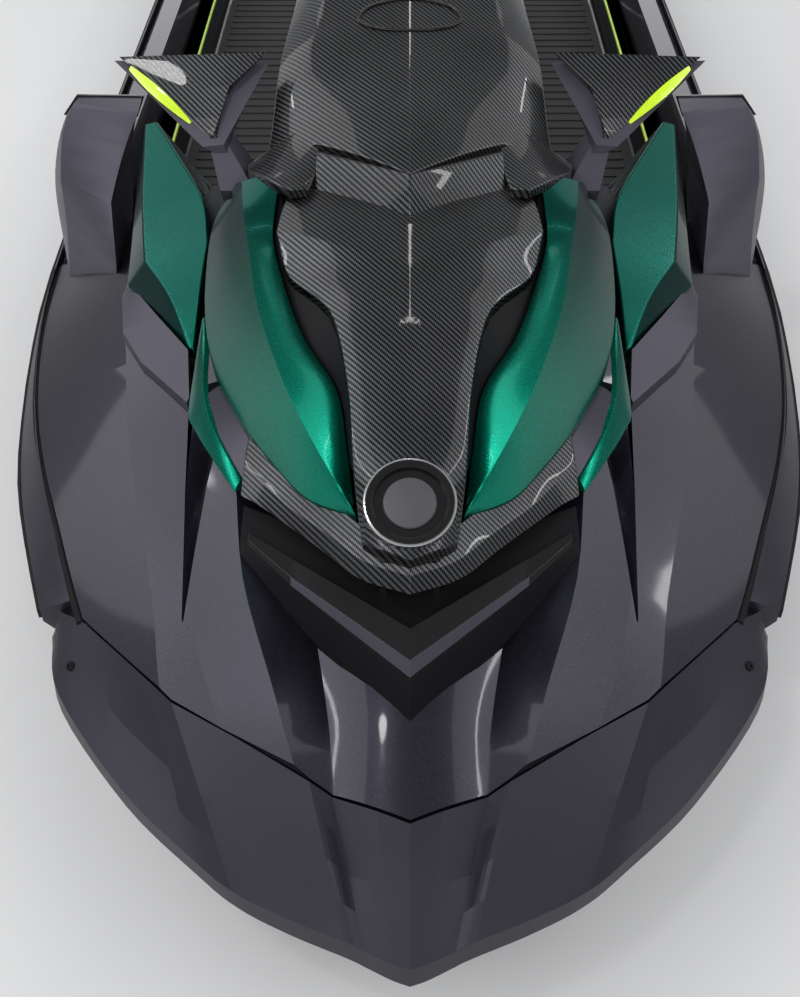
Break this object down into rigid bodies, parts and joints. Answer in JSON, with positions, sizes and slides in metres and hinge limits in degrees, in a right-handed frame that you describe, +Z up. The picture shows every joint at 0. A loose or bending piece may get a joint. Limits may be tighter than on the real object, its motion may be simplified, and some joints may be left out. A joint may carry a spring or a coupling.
{
  "type": "personal watercraft",
  "caption": "Two-seat personal watercraft with V hull, jet drive, opening front hood, steerable handlebar, reverse bucket and fold-down boarding step.",
  "frame": {"origin": "centreline at the waterline, mid-length", "axes": "+Z up, bow towards -Y, port side towards +X"},
  "size_m": [1.255, 3.314, 1.1347],
  "materials": {
    "hull_shell": "moulded composite in gloss black",
    "deck_shell": "gloss metallic dark grey paint over moulded composite",
    "bumper": "satin dark grey moulded thermoplastic",
    "carbon": "clear-coated twill carbon fibre",
    "green_paint": "gloss metallic emerald green paint",
    "trim": "satin dark grey moulded plastic",
    "black_plastic": "textured black plastic",
    "gloss_black": "gloss black plastic",
    "mirror": "convex mirror glass",
    "lime": "lime yellow reflector",
    "badge": "plain round badge, satin chrome",
    "seat_vinyl": "embossed black marine vinyl",
    "mat_foam": "closed-cell foam traction mat",
    "rubber": "moulded rubber grip",
    "steel": "stainless steel",
    "aluminium": "anodised and painted aluminium",
    "engine": "plain block at the engine place",
    "black_bar": "black powder coat"
  },
  "bodies": {
    "craft": {"hull": "hull_shell", "deck": "deck_shell", "front_bumper": "bumper", "rub_rail": "bumper", "hinge_base": "steel", "cheeks": "green_paint", "cheek_trims": "trim", "side_pods": "trim", "pod_caps": "gloss_black", "nose_tray": "black_plastic", "chin_wing": "bumper", "gauge": "gloss_black", "jet_yokes": "aluminium", "front_bin": "black_plastic", "console": "black_plastic", "seat_front": "seat_vinyl", "seat_rear": "seat_vinyl", "engine_block": "engine", "pump_housing": "aluminium", "stator": "aluminium", "ride_plate": "aluminium", "intake_grate": "aluminium", "sponsons": "black_plastic", "footwell_mats": "mat_foam", "platform_mat": "mat_foam", "grab_rail": "steel", "stern_eyes": "steel", "bow_eye": "steel", "anchor_sockets": "black_plastic", "step_brackets": "steel"},
    "hood": {"hood_spine": "carbon", "hood_flanks": "green_paint", "cowl_step": "carbon", "cowl_legs": "carbon", "vent_floors": "black_plastic", "cowl_liner": "black_plastic", "nose_lip": "carbon", "side_strips": "green_paint", "hood_brackets": "trim", "hood_cowl": "carbon", "nose_badge": "badge", "hinge_arms": "black_plastic", "mirror_caps": "carbon", "mirror_housings": "trim", "mirror_glass": "mirror", "mirror_reflectors": "lime"},
    "handlebar": {"handlebar": "black_bar", "bar_pad": "black_plastic", "grips": "rubber", "switch_pods": "black_plastic", "levers": "black_bar"},
    "glovebox_lid": {"glovebox_lid": "trim"},
    "steering_nozzle": {"steering_nozzle": "aluminium"},
    "reverse_bucket": {"reverse_bucket": "black_bar"},
    "impeller": {"impeller": "steel"},
    "boarding_step": {"boarding_step": "steel"}
  },
  "joints": [
    {"name": "hood_hinge", "type": "hinge", "parent": "craft", "child": "hood", "pos_m": [0, -1.279, 0.352], "axis": [1, 0, 0], "range_deg": [0, 45]},
    {"name": "handlebar_steer", "type": "hinge", "parent": "craft", "child": "handlebar", "pos_m": [0, -0.341, 0.652], "axis": [0, 0.5, 0.866], "range_deg": [-24, 24]},
    {"name": "nozzle_steer", "type": "hinge", "parent": "craft", "child": "steering_nozzle", "pos_m": [0, 1.416, -0.12], "axis": [0, 0, 1], "range_deg": [-20, 20]},
    {"name": "bucket_tilt", "type": "hinge", "parent": "craft", "child": "reverse_bucket", "pos_m": [0, 1.416, -0.12], "axis": [-1, 0, 0], "range_deg": [0, 75]},
    {"name": "impeller_spin", "type": "hinge", "parent": "craft", "child": "impeller", "pos_m": [0, 1.141, -0.12], "axis": [0, 1, 0], "continuous": true},
    {"name": "glovebox_hinge", "type": "hinge", "parent": "craft", "child": "glovebox_lid", "pos_m": [0, -0.177, 0.584], "axis": [1, 0, 0], "range_deg": [0, 60]},
    {"name": "step_fold", "type": "hinge", "parent": "craft", "child": "boarding_step", "pos_m": [0, 1.641, -0.01], "axis": [-1, 0, 0], "range_deg": [0, 160]}
  ],
  "couplings": [
    {"joint": "nozzle_steer", "follows": "handlebar_steer", "ratio": -0.8333}
  ]
}
